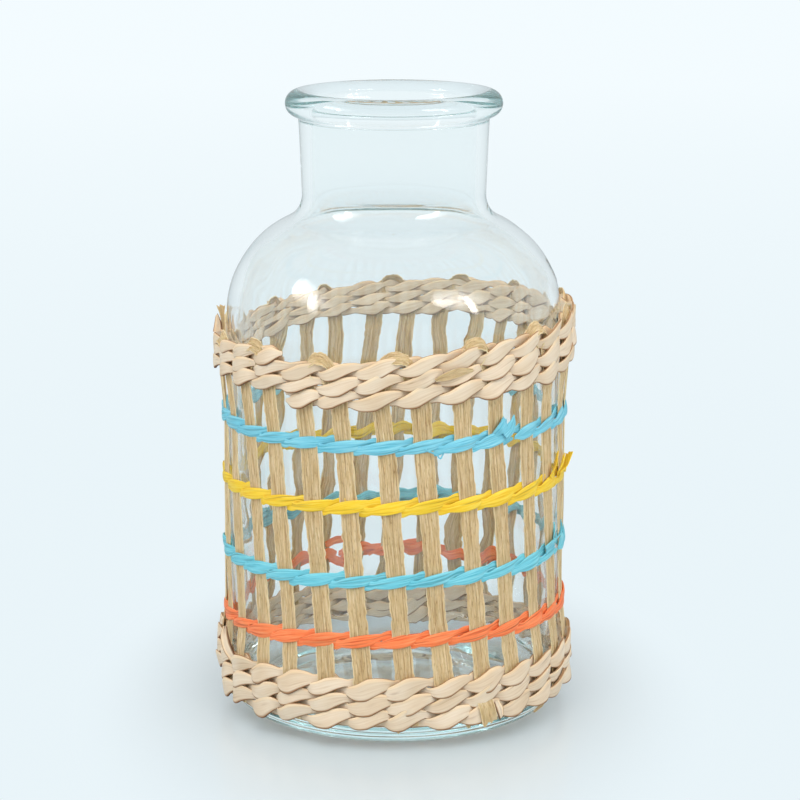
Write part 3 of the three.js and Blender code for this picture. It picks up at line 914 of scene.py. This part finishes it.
def make_loose_end(name, material, slot, stations, rng):
    stations = np.array(stations, float)
    steps = np.linspace(0, len(stations) - 1, RIBBON_STEPS + 1)
    table = [np.interp(steps, np.arange(len(stations)), column) for column in stations.T]
    table = smooth_rows(np.stack(table, axis=-1), RIBBON_SMOOTHING)
    azimuth, radius, height, twist, width = table.T
    middle = place(azimuth, radius, height)
    ahead = unit(np.gradient(middle, axis=0))
    turn = np.radians(twist)[:, None]
    flat = unit(np.cross(outward(azimuth), ahead))
    across = flat * np.cos(turn) + outward(azimuth) * np.sin(turn)
    through = np.cross(ahead, across)
    piece, along, side = grid_piece(name, RIBBON_STEPS, RIBBON_SIDES)
    row = np.rint(along * RIBBON_STEPS).astype(int)
    folds = strip_folds(rng, side, row, RIBBON_STEPS + 1)
    pleat = RIBBON_CRINKLE * crinkle(rng, side, row, RIBBON_STEPS + 1, RIBBON_RIDGES)
    pleat = pleat + RIBBON_FOLD_DEPTH * folds
    torn = TORN_DEPTH * wander(rng, side * TORN_TEETH) * ease((along - TORN_FROM) / (1 - TORN_FROM))
    points = middle[row] + across[row] * ((side - 0.5) * width[row])[:, None]
    points = points + through[row] * pleat[:, None] + ahead[row] * torn[:, None]
    lay_points(piece, points)
    # The folds also darken the ribbon's colour there as painted shade
    mark_crease_shade(piece, RIBBON_CREASE_SHADE * folds)
    length = np.linalg.norm(np.diff(middle, axis=0), axis=-1).sum()
    sides = (0.0, 1.0) if slot == "tan_paper" else OUTER_FACE
    move_uvs(piece, rng.uniform(), length / STRIP_LENGTHS.get(slot, RAFFIA_LENGTH), sides)
    thicken(piece, RIBBON_THICKNESS)
    finish_piece(piece, material, "sleeve", slot)


# Slot of each row, and the deep, plain and light colour of its paper
ROW_COLOURS = {
    "orange": ("orange_paper", (0.8, 0.11, 0.025), (1.0, 0.235, 0.075), (1.0, 0.36, 0.15)),
    "lower_blue": ("turquoise_paper", (0.08, 0.42, 0.52), (0.17, 0.6, 0.71), (0.34, 0.74, 0.81)),
    "yellow": ("yellow_paper", (0.8, 0.42, 0.012), (0.93, 0.62, 0.028), (0.96, 0.72, 0.11)),
    "upper_blue": ("sky_blue_paper", (0.08, 0.41, 0.54), (0.19, 0.59, 0.73), (0.36, 0.74, 0.83)),
}


def make_sleeve():
    rng = np.random.default_rng(SEED)
    paper = tan_paper()
    leaf = pale_leaf()
    materials = {"tan_paper": paper, "pale_leaf": leaf}
    for number in range(HAIRPIN_COUNT):
        make_hairpin(number, paper, rng)
    for place_name, band in (("bottom", BOTTOM_BAND), ("top", TOP_BAND)):
        for strand in (0, 1):
            name = f"{place_name}_leaf_{strand + 1}"
            piece = twined_strand(name, leaf_lay(band), strand, rng)
            move_uvs(piece, strand + 2 * (place_name == "top"))
            finish_piece(piece, leaf, "sleeve", "pale_leaf", f"{place_name}_band_leaf_{strand + 1}")
    for row_name, row in ROWS.items():
        slot, deep, plain, light = ROW_COLOURS[row_name]
        materials[slot] = raffia(slot, deep, plain, light)
        for strand in (0, 1):
            piece = twined_strand(f"{row_name}_raffia_{strand + 1}", raffia_lay(row), strand, rng)
            move_uvs(piece, strand)
            finish_piece(piece, materials[slot], "sleeve", slot, f"{row_name}_strand_{strand + 1}")
    for name, (slot, stations) in LOOSE_ENDS.items():
        make_loose_end(name, materials[slot], slot, stations, rng)


# Stage, with lengths in metres: floor, pale background, lamps and camera
BACKGROUND = (0.9, 0.97, 1.0)
NEAR_BACKGROUND = (0.82, 0.91, 0.95)
FLOOR_COLOUR = (0.65, 0.725, 0.755)
FLOOR_SIZE = 14.0
FLOOR_FADE = (0.036, 0.098)
FRONT_REACH = 0.6
TONE_FADE = (0.3, 1.8)
FILL_COLOUR = (0.97, 0.985, 1.0)
FILL_STRENGTH = 0.62

# Directions from 0 in front to 1 behind, and the share of the backdrop's light left in reflections
FLAGS = [(0.5, 1.0), (0.7, 0.85), (0.88, 0.56), (0.97, 0.42), (0.995, 0.52)]

# Lamps aim at one height on the axis
LAMP_TARGET = 0.11
SIDE_AZIMUTHS = {"left": -59, "right": 58}
SIDE_SOFTBOX = {"elevation": 30, "distance": 1.2, "size": (1.5, 1.4), "power": 5.4}
OVERHEAD_SOFTBOX = {"elevation": 55, "distance": 1.2, "size": (1.2, 0.8), "power": 5.1}
GLINT = {"elevation": 25, "distance": 1.25, "size": (0.22, 0.6), "power": 9.0}
GLOW = {"elevation": 35, "distance": 1.25, "size": (1.3, 0.8), "power": 22.0}
GLOW_TURN = 6

# Camera, and how often a ray may turn in the glass
CAMERA_PLACE = (0, -0.8217, 0.27466)
CAMERA_TILT = 12.462
CAMERA_LENS = 125.6
CAMERA_SENSOR = 36
CAMERA_SHIFT = 0.0075
GLASS_BOUNCES = 96
CLEAR_BOUNCES = 32


def seen(tree):
    """1 for what is seen straight, or in and through the glass."""
    path = add_node(tree, "ShaderNodeLightPath").outputs
    in_glass = math_node(tree, "MAXIMUM", path["Is Glossy Ray"], path["Is Transmission Ray"])
    return math_node(tree, "MAXIMUM", in_glass, path["Is Camera Ray"])


def flagged(tree, colour, direction):
    """The backdrop's colour, darker behind on both sides in reflections, to draw the glass's edges."""
    path = add_node(tree, "ShaderNodeLightPath").outputs
    level = add_node(
        tree, "ShaderNodeVectorMath", {0: direction}, {1: (1, 1, 0)}, operation="MULTIPLY")
    level = add_node(tree, "ShaderNodeVectorMath", {0: level.outputs[0]}, operation="NORMALIZE")
    behind = add_node(tree, "ShaderNodeSeparateXYZ", {"Vector": level.outputs[0]}).outputs["Y"]
    behind = math_node(tree, "MULTIPLY_ADD", behind, 0.5)
    behind.node.inputs[2].default_value = 0.5
    flag = colour_ramp(tree, behind, [(stop, (shade, shade, shade)) for stop, shade in FLAGS])
    reflected = math_node(tree, "SUBTRACT", path["Is Glossy Ray"], path["Is Transmission Ray"], True)
    return mix_colours(tree, reflected, colour, mix_colours(tree, 1.0, colour, flag, "MULTIPLY"))


def make_floor():
    """A floor that shows its shadow near the bottle and fades to the backdrop's colour."""
    bpy.ops.object.select_all(action="DESELECT")
    bpy.ops.mesh.primitive_plane_add(size=FLOOR_SIZE)
    floor = start_piece("floor")
    material, tree = make_material("floor")
    shader = add_node(
        tree, "ShaderNodeBsdfPrincipled",
        values={"Base Color": (*FLOOR_COLOUR, 1), "Roughness": 0.2, "Specular IOR Level": 0.5})
    position = add_node(tree, "ShaderNodeTexCoord").outputs["Object"]
    distance = add_node(tree, "ShaderNodeVectorMath", {0: position}, operation="LENGTH")
    tone = add_node(
        tree, "ShaderNodeMapRange", {"Value": distance.outputs["Value"]},
        {1: TONE_FADE[0], 2: TONE_FADE[1]})
    colour = mix_colours(tree, tone.outputs["Result"], NEAR_BACKGROUND, BACKGROUND)
    backdrop = add_node(
        tree, "ShaderNodeEmission", {"Color": flagged(tree, colour, position)}, {"Strength": 1.0})
    drawn_in = add_node(
        tree, "ShaderNodeVectorMath", {0: position}, {1: (1, FRONT_REACH, 1)}, operation="MULTIPLY")
    reach = add_node(tree, "ShaderNodeVectorMath", {0: drawn_in.outputs[0]}, operation="LENGTH")
    fade = add_node(
        tree, "ShaderNodeMapRange", {"Value": reach.outputs["Value"]},
        {1: FLOOR_FADE[0], 2: FLOOR_FADE[1]},
        interpolation_type="SMOOTHSTEP")
    share = math_node(tree, "MULTIPLY", fade.outputs["Result"], seen(tree))
    mix = add_node(
        tree, "ShaderNodeMixShader",
        {0: share, 1: shader.outputs["BSDF"], 2: backdrop.outputs["Emission"]})
    add_node(tree, "ShaderNodeOutputMaterial", {"Surface": mix.outputs["Shader"]})
    floor.data.materials.append(material)


def make_world():
    world = bpy.data.worlds.new("pale_room")
    world.use_nodes = True
    tree = world.node_tree
    tree.nodes.clear()
    fill = add_node(
        tree, "ShaderNodeBackground",
        values={"Color": (*FILL_COLOUR, 1), "Strength": FILL_STRENGTH})
    direction = add_node(tree, "ShaderNodeTexCoord").outputs["Generated"]
    colour = flagged(tree, BACKGROUND, direction)
    backdrop = add_node(tree, "ShaderNodeBackground", {"Color": colour}, {"Strength": 1.0})
    mix = add_node(
        tree, "ShaderNodeMixShader",
        {0: seen(tree), 1: fill.outputs["Background"], 2: backdrop.outputs["Background"]})
    add_node(tree, "ShaderNodeOutputWorld", {"Surface": mix.outputs["Shader"]})
    bpy.context.scene.world = world


def aim(lamp, azimuth, elevation, distance):
    """Stands a lamp round the bottle and turns it to the height on the axis."""
    flat = distance * math.cos(math.radians(elevation))
    turn = math.radians(azimuth)
    lamp.location = (
        flat * math.sin(turn), -flat * math.cos(turn),
        LAMP_TARGET + distance * math.sin(math.radians(elevation)))
    lamp.rotation_euler = (math.radians(90 - elevation), 0, turn)


def make_lamp(name, azimuth, elevation, distance, size, power):
    bpy.ops.object.light_add(type="AREA")
    lamp = bpy.context.object
    lamp.name = name
    lamp.data.shape = "ELLIPSE"
    lamp.data.size = size[0]
    lamp.data.size_y = size[1]
    lamp.data.energy = power
    aim(lamp, azimuth, elevation, distance)
    return lamp


def soften(lamp):
    """Fades a lamp's light from its middle to its edge."""
    lamp.data.use_nodes = True
    tree = lamp.data.node_tree
    tree.nodes.clear()
    # With u and v from 0 to 1 over the lamp, the node gives 1 - u - v as X and u as Y
    spread = add_node(tree, "ShaderNodeNewGeometry").outputs["Parametric"]
    parts = add_node(tree, "ShaderNodeSeparateXYZ", {"Vector": spread}).outputs
    across = math_node(tree, "SUBTRACT", parts["Y"], 0.5)
    up = math_node(tree, "SUBTRACT", math_node(tree, "SUBTRACT", 0.5, parts["X"]), parts["Y"])
    across_square = math_node(tree, "MULTIPLY", across, across)
    squares = math_node(tree, "ADD", across_square, math_node(tree, "MULTIPLY", up, up))
    distance = math_node(tree, "MULTIPLY", math_node(tree, "SQRT", squares), 2.0)
    fade = math_node(tree, "SUBTRACT", 1.0, distance, True)
    light = add_node(tree, "ShaderNodeEmission", {"Strength": fade})
    add_node(tree, "ShaderNodeOutputLight", {"Surface": light.outputs["Emission"]})


def make_softbox(name, azimuth, settings):
    """A lamp that lights the object and isn't seen in the glass."""
    lamp = make_lamp(name, azimuth, **settings)
    lamp.visible_glossy = False
    lamp.visible_transmission = False


def make_highlight(name, azimuth, settings):
    """A soft lamp that is seen in the glass and doesn't light the rest."""
    lamp = make_lamp(name, azimuth, **settings)
    lamp.visible_diffuse = False
    soften(lamp)


def make_lamps():
    for side, azimuth in SIDE_AZIMUTHS.items():
        make_softbox(f"{side}_softbox", azimuth, SIDE_SOFTBOX)
        make_highlight(f"{side}_glint", azimuth, GLINT)
        make_highlight(f"{side}_glow", azimuth + GLOW_TURN, GLOW)
    make_softbox("overhead_softbox", 0, OVERHEAD_SOFTBOX)


def make_camera():
    bpy.ops.object.camera_add(location=CAMERA_PLACE)
    camera = bpy.context.object
    camera.name = "camera"
    camera.rotation_euler = (math.radians(90 - CAMERA_TILT), 0, 0)
    camera.data.lens = CAMERA_LENS
    camera.data.sensor_width = CAMERA_SENSOR
    camera.data.shift_x = CAMERA_SHIFT
    bpy.context.scene.camera = camera


def make_stage():
    make_floor()
    make_world()
    make_lamps()
    make_camera()
    scene = bpy.context.scene
    scene.view_settings.view_transform = "Standard"
    scene.cycles.max_bounces = GLASS_BOUNCES
    scene.cycles.glossy_bounces = GLASS_BOUNCES
    scene.cycles.transmission_bounces = GLASS_BOUNCES
    scene.cycles.transparent_max_bounces = CLEAR_BOUNCES


make_bottle(clear_glass())
make_sleeve()
make_stage()
